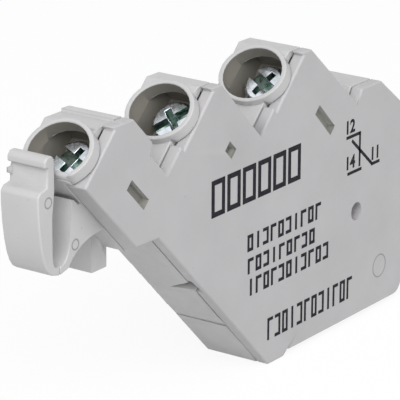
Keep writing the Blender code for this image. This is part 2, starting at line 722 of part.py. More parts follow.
def inner_clip_outline():
    """Inner arm of the clip, its web and half of the U, which are moulded with the base."""
    split = FIT_GAP / 2 - SPLIT_LEFT
    gap_u = LEFT_EDGE_U - INNER_ARM_GAP
    corner_z = tower_corner()[1]
    slot_foot = from_corner(SLOT_FOOT_RIGHT, -SLOT_FOOT_DROP)
    arm_top = from_corner(SLOT_RIGHT, -INNER_ARM_DROP - ARM_CORNER)
    top_end = at_height(gap_u, from_corner(0, -INNER_ARM_DROP)[1] - ARM_CORNER)
    web_foot = at_height(LEFT_EDGE_U, corner_z - WEB_FOOT_DROP)
    web_end = from_corner(WEB_END_RIGHT, -WEB_END_DROP)
    slot_end = from_corner(split, -SLOT_DROP)
    outline = curve(arm_top, from_corner(SLOT_RIGHT, -INNER_ARM_DROP), top_end, CORNER_CURVE_STEPS)
    outline.append(at_height(gap_u, corner_z - WEB_TOP_DROP))
    outline.append(at_height(LEFT_EDGE_U + WEB_ROOT, corner_z - WEB_TOP_DROP))
    outline.append(at_height(LEFT_EDGE_U + WEB_ROOT, corner_z - WEB_FOOT_DROP))
    outline += curve(web_foot, from_corner(WEB_TURN_RIGHT, -WEB_TURN_DROP), web_end, CURVE_STEPS)
    outline += [from_corner(split, -SLOT_DROP - U_THICK), slot_end]
    outline += curve(slot_end, from_corner(SLOT_TURN_RIGHT, -SLOT_DROP), slot_foot, CURVE_STEPS)[1:]
    return outline


def outer_clip_outline():
    """Outer arm of the clip with its catch, and its half of the U."""
    split = -FIT_GAP / 2 - SPLIT_LEFT
    upper = ARM_LEAN - SLOT_LEFT
    slot_end = from_corner(split, -SLOT_DROP)
    slot_foot = from_corner(-SLOT_LEFT, -SLOT_FOOT_LEFT_DROP)
    arm_foot = from_corner(-ARM_FOOT_LEFT, -ARM_FOOT_DROP)
    outline = curve(slot_end, from_corner(-SLOT_LEFT, -SLOT_DROP), slot_foot, CORNER_CURVE_STEPS)
    outline += [from_corner(-SLOT_LEFT, -ARM_LEAN_LOW_DROP), from_corner(upper, -ARM_LEAN_HIGH_DROP)]
    outline += [from_corner(upper, ARM_RISE - ARM_CORNER), from_corner(upper - ARM_CORNER, ARM_RISE)]
    ridge = upper - RIDGE_THICK
    low = ARM_RISE - RIDGE_HEIGHT
    outline += [from_corner(ridge + RIDGE_ROUND, ARM_RISE), from_corner(ridge, ARM_RISE - RIDGE_ROUND)]
    outline += [from_corner(ridge, low + FINE_GAP), from_corner(upper - NECK_TOP_THICK, low)]
    outline.append(from_corner(upper - NECK_FOOT_THICK, NECK_FOOT_RISE))
    outline.append(from_corner(BLOCK_ROUND - BLOCK_LEFT, BLOCK_RISE))
    outline.append(from_corner(-BLOCK_LEFT, BLOCK_RISE - BLOCK_ROUND))
    block_end = from_corner(-BLOCK_LEFT, -BLOCK_TALL)
    outline += curve(block_end, from_corner(-ARM_TURN_LEFT, -ARM_TURN_DROP), arm_foot, CURVE_STEPS)
    outline.append(from_corner(split, -SLOT_DROP - U_THICK))
    return outline


def tooth_outline():
    """Small second tooth at the back end of the arm's neck."""
    root = ARM_LEAN - SLOT_LEFT - NECK_TOP_THICK / 2
    tip = ARM_LEAN - SLOT_LEFT - NECK_TOP_THICK - TOOTH_PROUD
    middle = (TOOTH_TOP_RISE + TOOTH_LOW_RISE) / 2
    outline = [from_corner(root, TOOTH_TOP_RISE), from_corner(tip, TOOTH_TOP_RISE)]
    outline += [from_corner(tip, middle), from_corner(root, TOOTH_LOW_RISE)]
    return outline


def make_base(plastic):
    """Base moulding with the ports, the bays, the leg and the inner half of the clip."""
    base = prism("base_housing", body_outline(False), BASE_FRONT, BACK)
    join_block(base, "inner_clip", inner_clip_outline(), CLIP_FRONT, CLIP_BACK)
    leg_x = at_height(LEFT_EDGE_U, UNDERSIDE_Z)[0] - LEG_OUTSET
    outline = [(leg_x, UNDERSIDE_Z - LEG_LENGTH), (leg_x + LEG_WIDTH, UNDERSIDE_Z - LEG_LENGTH)]
    outline += [(leg_x + LEG_WIDTH, UNDERSIDE_Z + LEG_ROOT), (leg_x, UNDERSIDE_Z + LEG_ROOT)]
    join_block(base, "leg", outline, BACK - LEG_DEPTH, BACK)
    for index in range(3):
        join_collar(base, index)
    high_v = PITCH - PORT_NOTCH_DROP + PORT_SLIT
    low_v = (UNDERSIDE_Z - MOUTH_Z) * ROOT2 - LOWER_EDGE_U - CLEAR_CUT
    right_u = LEFT_EDGE_U + COVER_RIM_WALL + FIT_GAP
    outline = rectangle(slanted, LEFT_EDGE_U - CLEAR_CUT, right_u, low_v, high_v)
    cut_block(base, "rim_rebate", outline, OPEN_FRONT, RIM_BACK + FIT_GAP)
    cut_underside(base, "base")
    for index in range(3):
        cut_port(base, index)
        cut_strip_channels(base, index)
    cut_switch_bay(base)
    hole_x, hole_z = hole_place()
    start = (hole_x, OPEN_FRONT, hole_z)
    cut_hole(base, "locating_hole", start, (0, 1, 0), HOLE_RADIUS, BAY_BACK - OPEN_FRONT, SCREW_SIDES)
    nose_window(base, "base")
    cut_ribs(base)
    cut_reliefs(base)
    finish(base, plastic)


def make_cover(plastic):
    """Front plate with its three teeth, three blind windows and deeper left rim."""
    cover = prism("front_cover", body_outline(True), FRONT, COVER_BACK)
    corner = slanted(LEFT_EDGE_U, PITCH - PORT_NOTCH_DROP)
    inner_u = LEFT_EDGE_U + COVER_RIM_WALL
    outline = [corner, slanted(inner_u, PITCH - PORT_NOTCH_DROP)]
    outline += [at_height(inner_u, UNDERSIDE_Z), at_height(LEFT_EDGE_U, UNDERSIDE_Z)]
    join_block(cover, "rim", outline, FRONT + COVER_PLATE / 2, RIM_BACK)
    for index in range(3):
        low_s = WINDOW_SHIFT - WINDOW_WIDTH / 2
        low_t = WINDOW_DEPTHS[index]
        high_t = low_t + WINDOW_LENGTHS[index]
        outline = rectangle(in_this_port(index), low_s, low_s + WINDOW_WIDTH, low_t, high_t)
        cut_block(cover, f"cover_window_{index + 1}", outline, FRONT - CLEAR_CUT, FRONT + WINDOW_SINK)
    hole_x, hole_z = hole_place()
    start = (hole_x, FRONT - CLEAR_CUT, hole_z)
    length = COVER_PLATE + 2 * CLEAR_CUT
    cut_hole(cover, "cover_hole", start, (0, 1, 0), HOLE_RADIUS, length, SCREW_SIDES)
    cut_underside(cover, "cover")
    nose_window(cover, "cover")
    finish(cover, plastic)


def make_latch_arm(plastic):
    """Outer arm of the clip, which bends about the U."""
    origin_x, origin_z = from_corner(-SPLIT_LEFT, -SLOT_DROP - U_THICK / 2)
    arm = prism("latch_arm", outer_clip_outline(), CLIP_FRONT, CLIP_BACK, (origin_x, 0, origin_z))
    join_block(arm, "tooth", tooth_outline(), CLIP_BACK - TOOTH_DEPTH, CLIP_BACK - JOIN_INSET)
    finish(arm, plastic)


def cut_slot(screw, index, name, angle, reach, half, depth):
    """Straight recess across a screw head, at an angle from +Y towards the steps' direction."""
    along = Vector((math.sin(angle), math.cos(angle)))
    across = Vector((along.y, -along.x))
    builder = bmesh.new()
    ring = []
    for far, side in ((-reach, -half), (reach, -half), (reach, half), (-reach, half)):
        s, y = along * far + across * side
        ring.append(builder.verts.new(port_point(index, s, HEAD_DEPTH - CLEAR_CUT, y)))
    extruded = bmesh.ops.extrude_face_region(builder, geom=[builder.faces.new(ring)])
    moved = [item for item in extruded["geom"] if isinstance(item, bmesh.types.BMVert)]
    bmesh.ops.translate(builder, verts=moved, vec=-port_direction() * (depth + CLEAR_CUT))
    combine(screw, add_object(f"guide_{name}_{index + 1}", builder), "DIFFERENCE")


def make_screw(index, metal):
    """Terminal screw with a slot and cross recess, standing on its port's axis."""
    origin = port_point(index, 0, HEAD_DEPTH)
    length = HEAD_HEIGHT + SHANK_LENGTH
    profile = [(0, HEAD_RADIUS - HEAD_CHAMFER), (HEAD_CHAMFER, HEAD_RADIUS), (HEAD_HEIGHT, HEAD_RADIUS)]
    profile += [(HEAD_HEIGHT, SHANK_RADIUS), (length - HEAD_CHAMFER, SHANK_RADIUS)]
    profile.append((length, SHANK_RADIUS - HEAD_CHAMFER))
    name = f"terminal_screw_{index + 1}"
    screw = turned(name, origin, -port_direction(), profile, SCREW_SIDES, origin)
    angle = math.radians(SCREW_TURNS[index])
    cut_slot(screw, index, "slot", angle, HEAD_RADIUS + CLEAR_CUT, SLOT_WIDTH / 2, SLOT_DEPTH)
    cut_slot(screw, index, "cross", angle + math.pi / 2, CROSS_LENGTH / 2, CROSS_WIDTH / 2, CROSS_DEPTH)
    finish(screw, metal)


def make_cage(index, metal):
    """Rising box clamp on a screw, with the strip and the wire inside."""
    place = in_this_port(index)
    origin = port_point(index, 0, CAGE_TOP)
    outline = rectangle(place, -CAGE_HALF, CAGE_HALF, CAGE_TOP, CAGE_BOTTOM)
    cage = prism(f"wire_cage_{index + 1}", outline, -CAGE_HALF_DEPTH, CAGE_HALF_DEPTH, origin)
    side = CAGE_HALF + CLEAR_CUT
    outline = rectangle(place, -side, side, CAGE_TOP + CAGE_ROOF, CAGE_FLOOR)
    cut_block(cage, f"cage_opening_{index + 1}", outline, -ENTRY_HALF_DEPTH, ENTRY_HALF_DEPTH)
    start = port_point(index, 0, CAGE_TOP - CLEAR_CUT)
    radius = SHANK_RADIUS + THREAD_GAP
    length = CAGE_ROOF + 2 * CLEAR_CUT
    cut_hole(cage, f"cage_thread_{index + 1}", start, -port_direction(), radius, length, SCREW_SIDES)
    finish(cage, metal)


def make_strip(index, metal):
    """Conductor strip: plate through the cage, neck, flat run and tab at the switch's tail."""
    name = f"{index + 1}"
    place = in_this_port(index)
    low_neck = NECK_PLACE - NECK_WIDTH / 2
    high_neck = NECK_PLACE + NECK_WIDTH / 2
    outline = rectangle(place, -CAGE_HALF - STRIP_OVERHANG, high_neck, STRIP_TOP, STRIP_BOTTOM)
    strip = prism(f"conductor_strip_{name}", outline, -STRIP_HALF_WIDTH, STRIP_HALF_WIDTH)
    low_t = STRIP_TOP + JOIN_INSET / 2
    outline = rectangle(place, low_neck, high_neck - JOIN_INSET, low_t, STRIP_BOTTOM - JOIN_INSET)
    high_y = RUN_BACK - JOIN_INSET
    join_block(strip, f"neck_{name}", outline, STRIP_HALF_WIDTH - NECK_WIDTH, high_y)
    join_block(strip, f"run_{name}", band(run_path(index), RUN_WIDTH / 2), RUN_FRONT, RUN_BACK)
    low_n = -TAIL_REACH - FIT_GAP - TAB_THICK
    low_m = TAIL_PLACES[index] - TAB_LENGTH / 2
    outline = rectangle(in_switch, low_m, low_m + TAB_LENGTH, low_n, low_n + TAB_THICK)
    join_block(strip, f"tab_{name}", outline, SWITCH_MIDDLE - TERMINAL_HALF_WIDTH, high_y)
    finish(strip, metal)


def make_switch_case(plastic):
    """Hollow case of the snap switch, open to the front, with its tail slots and plunger hole."""
    outline = rectangle(in_switch, 0, SWITCH_LENGTH, 0, SWITCH_HEIGHT)
    case = prism("switch_case", outline, CASE_FRONT, SWITCH_BACK)
    far_m = SWITCH_LENGTH - SWITCH_WALL
    far_n = SWITCH_HEIGHT - SWITCH_WALL
    outline = rectangle(in_switch, SWITCH_WALL, far_m, SWITCH_WALL, far_n)
    cut_block(case, "switch_cavity", outline, CASE_FRONT - CLEAR_CUT, SWITCH_BACK - SWITCH_WALL)
    start = switch_point(PLUNGER_PLACE, far_n - CLEAR_CUT, SWITCH_MIDDLE)
    radius = PLUNGER_RADIUS + FINE_GAP
    length = SWITCH_WALL + 2 * CLEAR_CUT
    cut_hole(case, "plunger_hole", start, -step_direction(), radius, length, SMALL_SIDES)
    half_m = TERMINAL_THICK / 2 + FINE_GAP
    half_y = TERMINAL_HALF_WIDTH + FINE_GAP
    for count, middle in enumerate(TAIL_PLACES):
        outline = rectangle(in_switch, middle - half_m, middle + half_m, -CLEAR_CUT, SWITCH_WALL + FINE_GAP)
        cut_block(case, f"tail_slot_{count + 1}", outline, SWITCH_MIDDLE - half_y, SWITCH_MIDDLE + half_y)
    finish(case, plastic)


def make_switch_lid(plastic):
    """Flat lid on the front of the snap switch."""
    outline = rectangle(in_switch, 0, SWITCH_LENGTH, 0, SWITCH_HEIGHT)
    finish(prism("switch_lid", outline, SWITCH_FRONT, SWITCH_FRONT + LID_THICK), plastic)


def terminal(name, corners, metal):
    """Bent sheet terminal of the snap switch, from corners on the switch's axes."""
    outline = [in_switch(m, n) for m, n in corners]
    low_y = SWITCH_MIDDLE - TERMINAL_HALF_WIDTH
    made = prism(name, outline, low_y, SWITCH_MIDDLE + TERMINAL_HALF_WIDTH)
    made.data.materials.append(metal)
    return made


def rivet_hole(target, name, level):
    """Hole for a contact rivet through a leaf or an arm at a level of the switch."""
    start = switch_point(CONTACT_PLACE, level - CLEAR_CUT, SWITCH_MIDDLE)
    length = TERMINAL_THICK + 2 * CLEAR_CUT
    cut_hole(target, name, start, -step_direction(), CONTACT_NECK + FINE_GAP, length, SMALL_SIDES)


def make_terminals(metal):
    """Common, normally open and normally closed terminals."""
    half = TERMINAL_THICK / 2
    common, middle, end = TAIL_PLACES
    corners = [(common - half, -TAIL_REACH), (common + half, -TAIL_REACH)]
    corners += [(common + half, LEAF_LEVEL - FIT_GAP), (common - half, LEAF_LEVEL - FIT_GAP)]
    terminal("common_terminal", corners, metal)
    far_m = CONTACT_PLACE + CONTACT_RADIUS
    low_n = OPEN_ARM_TOP - TERMINAL_THICK
    corners = [(middle - half, -TAIL_REACH), (middle + half, -TAIL_REACH), (middle + half, low_n)]
    corners += [(far_m, low_n), (far_m, OPEN_ARM_TOP), (middle - half, OPEN_ARM_TOP)]
    rivet_hole(terminal("open_terminal", corners, metal), "open_rivet_hole", low_n)
    near_m = CONTACT_PLACE - CONTACT_RADIUS
    high_n = CLOSED_ARM_BOTTOM + TERMINAL_THICK
    corners = [(end - half, -TAIL_REACH), (end + half, -TAIL_REACH), (end + half, high_n), (near_m, high_n)]
    corners += [(near_m, CLOSED_ARM_BOTTOM), (end - half, CLOSED_ARM_BOTTOM)]
    rivet_hole(terminal("closed_terminal", corners, metal), "closed_rivet_hole", CLOSED_ARM_BOTTOM)


def make_rivet(name, start_n, profile, metal, origin=(0, 0, 0)):
    """Contact rivet, turned from a level of the switch towards its plunger."""
    start = switch_point(CONTACT_PLACE, start_n, SWITCH_MIDDLE)
    finish(turned(name, start, -step_direction(), profile, SMALL_SIDES, origin), metal)


def make_contacts(metal):
    """Rivets on the two fixed arms and on the moving leaf."""
    shank = TERMINAL_THICK + FINE_GAP
    profile = [(0, CONTACT_NECK), (shank, CONTACT_NECK), (shank, CONTACT_RADIUS)]
    profile.append((shank + CONTACT_THICK, CONTACT_RADIUS))
    make_rivet("open_contact", OPEN_ARM_TOP - TERMINAL_THICK, profile, metal)
    profile = [(0, CONTACT_RADIUS), (CONTACT_THICK, CONTACT_RADIUS), (CONTACT_THICK, CONTACT_NECK)]
    profile.append((CONTACT_THICK + shank, CONTACT_NECK))
    make_rivet("closed_contact", CLOSED_ARM_BOTTOM - FINE_GAP - CONTACT_THICK, profile, metal)
    far = CONTACT_THICK + LEAF_THICK + 2 * FINE_GAP
    profile = [(0, CONTACT_RADIUS), (CONTACT_THICK, CONTACT_RADIUS), (CONTACT_THICK, CONTACT_NECK)]
    profile += [(far, CONTACT_NECK), (far, CONTACT_RADIUS), (far + CONTACT_THICK, CONTACT_RADIUS)]
    make_rivet("moving_contact", LEAF_LEVEL - FINE_GAP - CONTACT_THICK, profile, metal, leaf_pivot())


def leaf_pivot():
    """Place where the leaf bends."""
    return switch_point(LEAF_PIVOT, LEAF_LEVEL + LEAF_THICK / 2, SWITCH_MIDDLE)


def make_leaf(metal):
    """Moving leaf of the snap switch."""
    outline = rectangle(in_switch, LEAF_START, LEAF_END, LEAF_LEVEL, LEAF_LEVEL + LEAF_THICK)
    low_y = SWITCH_MIDDLE - LEAF_HALF_WIDTH
    leaf = prism("contact_leaf", outline, low_y, SWITCH_MIDDLE + LEAF_HALF_WIDTH, leaf_pivot())
    rivet_hole(leaf, "leaf_rivet_hole", LEAF_LEVEL)
    leaf.data.materials.append(metal)


def make_plunger(plastic):
    """Plunger of the snap switch with its retaining flange."""
    low_n = LEAF_LEVEL + LEAF_THICK + FIT_GAP
    origin = switch_point(PLUNGER_PLACE, low_n, SWITCH_MIDDLE)
    length = PLUNGER_TOP - low_n
    profile = [(0, PLUNGER_FLANGE), (PLUNGER_FLANGE_THICK, PLUNGER_FLANGE)]
    profile += [(PLUNGER_FLANGE_THICK, PLUNGER_RADIUS), (length - FINE_GAP, PLUNGER_RADIUS)]
    profile.append((length, PLUNGER_RADIUS - FINE_GAP))
    finish(turned("switch_plunger", origin, -step_direction(), profile, SMALL_SIDES, origin), plastic)


def make_lever(plastic):
    """Actuator lever with the bump over the plunger, the nose and the pivot boss."""
    half = LEVER_THICK / 2
    top_n = LEVER_BOTTOM + LEVER_THICK
    nose_n = LOWER_FACE_N - LOWER_WALL - FIT_GAP
    bump_low = PLUNGER_PLACE - LEVER_BUMP_HALF
    bump_high = PLUNGER_PLACE + LEVER_BUMP_HALF
    bump_n = LEVER_BOTTOM - LEVER_BUMP
    meet = math.degrees(math.asin(half / LEVER_BOSS))
    corners = [(LEVER_END, LEVER_BOTTOM), (bump_low, LEVER_BOTTOM), (bump_low, bump_n), (bump_high, bump_n)]
    corners.append((bump_high, LEVER_BOTTOM))
    corners += arc((LEVER_PIVOT_M, LEVER_PIVOT_N), LEVER_BOSS, 180 + meet, 540 - meet, SMALL_SIDES)
    corners += [(LEVER_END + NOSE_LENGTH, top_n), (LEVER_END + NOSE_LENGTH, nose_n), (LEVER_END, nose_n)]
    outline = [in_switch(m, n) for m, n in corners]
    origin = switch_point(LEVER_PIVOT_M, LEVER_PIVOT_N, 0)
    lever = prism("actuator_lever", outline, LEVER_FRONT, LEVER_BACK, origin)
    start = switch_point(LEVER_PIVOT_M, LEVER_PIVOT_N, LEVER_FRONT - CLEAR_CUT)
    length = LEVER_BACK - LEVER_FRONT + 2 * CLEAR_CUT
    cut_hole(lever, "lever_bore", start, (0, 1, 0), PIN_RADIUS + PIN_GAP, length, SMALL_SIDES)
    finish(lever, plastic)


def make_pin(metal):
    """Pin on which the lever turns, standing in a blind seat of the base."""
    start = switch_point(LEVER_PIVOT_M, LEVER_PIVOT_N, SWITCH_FRONT)
    length = BAY_BACK + PIN_SEAT - FINE_GAP - SWITCH_FRONT
    profile = [(0, PIN_RADIUS), (length, PIN_RADIUS)]
    finish(turned("lever_pin", start, (0, 1, 0), profile, SMALL_SIDES), metal)


def main():
    """Build every piece of the block."""
    clear_scene()
    cover_plastic = material("cover_plastic", (0.50, 0.49, 0.50), 0.45, 0.0)
    base_plastic = material("base_plastic", (0.54, 0.53, 0.51), 0.45, 0.0)
    switch_plastic = material("switch_plastic", (0.03, 0.03, 0.035), 0.5, 0.0)
    lever_plastic = material("lever_plastic", (0.62, 0.56, 0.42), 0.5, 0.0)
    zinc = material("zinc_plate", (0.68, 0.70, 0.72), 0.25, 1.0)
    copper = material("tinned_copper", (0.72, 0.62, 0.48), 0.3, 1.0)
    silver = material("silver", (0.85, 0.84, 0.82), 0.25, 1.0)
    make_base(base_plastic)
    make_cover(cover_plastic)
    make_latch_arm(base_plastic)
    for index in range(3):
        make_screw(index, zinc)
        make_cage(index, zinc)
        make_strip(index, copper)
    make_switch_case(switch_plastic)
    make_switch_lid(switch_plastic)
    make_terminals(copper)
    make_contacts(silver)
    make_leaf(copper)
    make_plunger(lever_plastic)
    make_lever(lever_plastic)
    make_pin(zinc)


main()
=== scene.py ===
"""Looks of the auxiliary contact block: finishes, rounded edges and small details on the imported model.

All sizes are in metres, on the same axes as the part: X along the block, Y from the cover to the back, Z up.
"""
import json
import math

import bmesh
import bpy
from mathutils import Matrix, Vector


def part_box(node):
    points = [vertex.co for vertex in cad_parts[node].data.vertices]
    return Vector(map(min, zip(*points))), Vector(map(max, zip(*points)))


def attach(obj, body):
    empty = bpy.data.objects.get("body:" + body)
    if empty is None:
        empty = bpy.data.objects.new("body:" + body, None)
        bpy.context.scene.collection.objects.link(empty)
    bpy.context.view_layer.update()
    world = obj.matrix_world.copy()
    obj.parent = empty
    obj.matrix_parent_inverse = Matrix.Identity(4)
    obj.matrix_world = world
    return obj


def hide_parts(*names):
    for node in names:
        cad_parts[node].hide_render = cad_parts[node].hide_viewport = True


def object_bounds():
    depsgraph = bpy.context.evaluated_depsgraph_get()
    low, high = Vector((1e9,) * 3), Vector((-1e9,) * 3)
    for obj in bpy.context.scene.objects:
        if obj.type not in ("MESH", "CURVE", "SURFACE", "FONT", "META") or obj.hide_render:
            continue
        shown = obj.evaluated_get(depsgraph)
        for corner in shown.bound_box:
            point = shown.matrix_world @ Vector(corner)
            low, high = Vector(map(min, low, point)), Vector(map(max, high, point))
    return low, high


MM = 0.001
ROOT2 = math.sqrt(2)
X_AXIS, Y_AXIS = 0, 1

# Camera, with its angles in degrees, and its lens and sensor in millimetres
VIEW_AZIMUTH = -54.7
VIEW_ELEVATION = 18.4
VIEW_ROLL = 0.24
VIEW_TARGET = Vector((-25.15, -0.15, 22.2)) * MM
VIEW_DISTANCE = 360 * MM
VIEW_LENS = 270
VIEW_SENSOR = 36
VIEW_CLIP = 10 * MM

# Floor: its drop below the block, its half width, its own grey, and the share and strength of the white that
# the camera sees on it
FLOOR_DROP = 0.02 * MM
FLOOR_HALF = 1.5
FLOOR_TONE = 0.62
FLOOR_WHITE = 0.8
FLOOR_GLOW = 1.1

# Light of the world, and the two lamps, with their angles in degrees and their power in watts
WHITE = (1.0, 1.0, 1.0, 1.0)
WORLD_COLOUR = (0.96, 0.975, 1.0, 1.0)
WORLD_LIGHT = 0.5
KEY_LAMP = {"azimuth": -60, "elevation": 38, "distance": 0.9, "size": 0.7, "power": 6.4}
FILL_LAMP = {"azimuth": 8, "elevation": 22, "distance": 1.0, "size": 0.8, "power": 1.9}

# Ports: their mouths stand at one height, and their axes lean by 45 degrees. S runs up to the right across a
# mouth, and T runs down to the right into the port. The next port is one pitch further along both.
PORT_COUNT = 3
MIDDLE_PORT = 1
MIDDLE_MOUTH = Vector((-33.0, 0, 35.85)) * MM
PORT_PITCH = 13.55 * MM
PORT_LIP = 0.35 * MM
PORT_LEDGE = 2.15 * MM
PORT_FLOOR = 6.0 * MM
BORE_LIMIT = 4.3 * MM
CHAMBER_LIMIT = 3.95 * MM
WALL_TILT = 0.3
FLOOR_FACING = 0.85

# Recesses of the screws: how deep below the mouth they begin, and how wide they reach
RECESS_DEPTH = 3.5 * MM
RECESS_RADIUS = 2.45 * MM

# Blind windows of the cover, one below each port: their two sides along S, and where each one begins along T
# and its length
WINDOW_SIDES = (0.2 * MM, 1.6 * MM)
WINDOWS = ((8.8 * MM, 4.6 * MM), (9.2 * MM, 1.9 * MM), (9.5 * MM, 5.0 * MM))
WINDOW_MARGIN = 0.05 * MM

# Tip of the nose's window in the cover, which leaves no room for the cover's rounding: how far it stands
# behind the cover's face, how far it moves back, its place along T of the middle port, and the space that
# counts as beside it
NOSE_TIP = 0.15 * MM
NOSE_TIP_BACK = 0.3 * MM
NOSE_TIP_T = 18.4 * MM
NOSE_TIP_REACH = 2 * MM
NOSE_AREA = 0.2 * MM

# Slanted lower face, along S of the middle port, and the grooves between its ribs: their depth in the solid
# and the shallower one shown here
LOWER_FACE = -14.3 * MM
RIB_DEPTH = 0.15 * MM
RIB_SHOWN = 0.05 * MM
RIB_MARGIN = 0.02 * MM

# Rounded edges
BASE_ROUND = 0.16 * MM
COVER_ROUND = 0.28 * MM
ARM_ROUND = 0.22 * MM
SCREW_ROUND = 0.1 * MM
ROUND_STEPS = 3
ROOM_FACTOR = 2.3
EDGE_ANGLE = math.radians(28)
SHARP_ANGLE = math.radians(40)
FLAT_ANGLE = math.radians(1)
MERGE = 0.001 * MM

# Seams between the pieces, which are tighter than the fits of the solids. The cover's rear faces lie deeper
# than its windows.
SEAM_FILL = 0.2 * MM
SPLIT_FILL = 0.12 * MM
COVER_REAR = 1.4 * MM
FACE_SINK = 0.04 * MM

# Print on the cover, in rows of plain marks. Each row has the place of its first mark, their count and pitch,
# and the width, height and line of each, in millimetres.
BOX, POST, BRACKET, CORNER = range(4)
MARK_ORDER = (BOX, CORNER, BRACKET, BOX, POST, BRACKET, CORNER, BOX, BRACKET, POST, CORNER)
MARK_SHIFT = 3
ROWS = (
    (-29.1, 21.75, 6, 3.25, 2.8, 4.65, 0.66),
    (-21.5, 15.4, 10, 1.66, 1.25, 2.15, 0.44),
    (-21.4, 12.5, 9, 1.69, 1.25, 2.0, 0.44),
    (-21.3, 9.6, 11, 1.66, 1.25, 2.2, 0.44),
    (-17.0, 2.6, 12, 1.64, 1.25, 2.9, 0.44),
)
INK_PROUD = 0.012 * MM
INK_SINK = 0.04 * MM

# Changeover symbol, by the ends of its lines, and its terminal numbers with their places, in millimetres
SYMBOL_LINES = (
    ((0.3, 24.33), (3.63, 24.33)),
    ((3.5, 24.5), (3.5, 19.9)),
    ((0.7, 19.5), (4.0, 19.5)),
    ((1.62, 23.75), (6.4, 19.55)),
    ((6.24, 19.45), (8.3, 19.45)),
)
SYMBOL_HALF = 0.21 * MM
DIGITS = (("12", -0.05, 24.9), ("14", 0.1, 20.15), ("11", 6.0, 20.0))
DIGIT_SIZE = 2.35 * MM
DIGIT_BOLD = 0.08 * MM
DIGIT_STEPS = 4

# Round moulding marks, whose flat top lies between two shares of their width
RING_PLACE = (8.83 * MM, 4.99 * MM)
RING_RADIUS = 1.65 * MM
RING_WIDTH = 0.3 * MM
RING_TOP = (0.7, 0.3)
RING_PROUD = 0.03 * MM
RING_SINK = 0.04 * MM
RING_SIDES = 40
EJECTOR_PLACES = ((-56.43 * MM, 30.53 * MM, "latch"), (-51.6 * MM, 24.33 * MM, "housing"))
EJECTOR_RADIUS = 0.75 * MM


def direction(azimuth, elevation):
    """Unit vector towards a camera or lamp at an azimuth and an elevation in degrees."""
    a, e = math.radians(azimuth), math.radians(elevation)
    return Vector((math.sin(a) * math.cos(e), -math.cos(a) * math.cos(e), math.sin(e)))


def facing(back, roll=0.0):
    """Rotation of a camera or lamp whose back points along a vector."""
    return back.to_track_quat("Z", "Y").to_matrix().to_4x4() @ Matrix.Rotation(math.radians(roll), 4, "Z")


def add_camera():
    """Camera at the photograph's angle."""
    camera = bpy.data.objects.new("camera", bpy.data.cameras.new("camera"))
    camera.data.lens = VIEW_LENS
    camera.data.sensor_width = VIEW_SENSOR
    camera.data.clip_start = VIEW_CLIP
    back = direction(VIEW_AZIMUTH, VIEW_ELEVATION)
    camera.matrix_world = Matrix.Translation(VIEW_TARGET + back * VIEW_DISTANCE) @ facing(back, VIEW_ROLL)
    bpy.context.scene.collection.objects.link(camera)
    bpy.context.scene.camera = camera


def add_lamp(name, azimuth, elevation, distance, size, power):
    """Square soft lamp aimed at the block."""
    lamp = bpy.data.lights.new(name, "AREA")
    lamp.size = size
    lamp.energy = power
    item = bpy.data.objects.new(name, lamp)
    back = direction(azimuth, elevation)
    item.matrix_world = Matrix.Translation(VIEW_TARGET + back * distance) @ facing(back)
    bpy.context.scene.collection.objects.link(item)


def seen_directly(tree):
    """Factor that is 1 for what the camera sees, directly or in a gloss or a glass, and 0 for light."""
    path = tree.nodes.new("ShaderNodeLightPath")
    total = path.outputs["Is Camera Ray"]
    for name in ("Is Glossy Ray", "Is Transmission Ray"):
        either = tree.nodes.new("ShaderNodeMath")
        either.operation = "MAXIMUM"
        tree.links.new(total, either.inputs[0])
        tree.links.new(path.outputs[name], either.inputs[1])
        total = either.outputs[0]
    return total


def add_world():
    """White surroundings for the camera and reflections, and a dimmer, slightly cool light on the block."""
    world = bpy.data.worlds.new("studio")
    bpy.context.scene.world = world
    world.use_nodes = True
    tree = world.node_tree
    tree.nodes.clear()
    output = tree.nodes.new("ShaderNodeOutputWorld")
    mix = tree.nodes.new("ShaderNodeMixShader")
    light = tree.nodes.new("ShaderNodeBackground")
    light.inputs["Color"].default_value = WORLD_COLOUR
    light.inputs["Strength"].default_value = WORLD_LIGHT
    seen = tree.nodes.new("ShaderNodeBackground")
    seen.inputs["Color"].default_value = WHITE
    tree.links.new(seen_directly(tree), mix.inputs[0])
    tree.links.new(light.outputs[0], mix.inputs[1])
    tree.links.new(seen.outputs[0], mix.inputs[2])
    tree.links.new(mix.outputs[0], output.inputs[0])


def floor_finish():
    """Matte grey that the camera sees mostly as white."""
    made = bpy.data.materials.new("floor_white")
    made.use_nodes = True
    tree = made.node_tree
    tree.nodes.clear()
    output = tree.nodes.new("ShaderNodeOutputMaterial")
    mix = tree.nodes.new("ShaderNodeMixShader")
    matte = tree.nodes.new("ShaderNodeBsdfDiffuse")
    matte.inputs["Color"].default_value = (FLOOR_TONE, FLOOR_TONE, FLOOR_TONE, 1.0)
    white = tree.nodes.new("ShaderNodeEmission")
    white.inputs["Strength"].default_value = FLOOR_GLOW
    scaled = tree.nodes.new("ShaderNodeMath")
    scaled.operation = "MULTIPLY"
    scaled.inputs[1].default_value = FLOOR_WHITE
    tree.links.new(seen_directly(tree), scaled.inputs[0])
    tree.links.new(scaled.outputs[0], mix.inputs[0])
    tree.links.new(matte.outputs[0], mix.inputs[1])
    tree.links.new(white.outputs[0], mix.inputs[2])
    tree.links.new(mix.outputs[0], output.inputs[0])
    return made


def add_floor(level):
    """Pale floor, which keeps a soft shadow."""
    builder = bmesh.new()
    bmesh.ops.create_grid(builder, x_segments=1, y_segments=1, size=FLOOR_HALF)
    floor = mesh_object("floor", builder, [floor_finish()])
    floor.location = (VIEW_TARGET.x, 0, level)


def mesh_object(name, builder, finishes):
    """Object from a bmesh, with its finishes."""
    mesh = bpy.data.meshes.new(name)
    builder.to_mesh(mesh)
    builder.free()
    for finish in finishes:
        mesh.materials.append(finish)
    made = bpy.data.objects.new(name, mesh)
    bpy.context.scene.collection.objects.link(made)
    return made


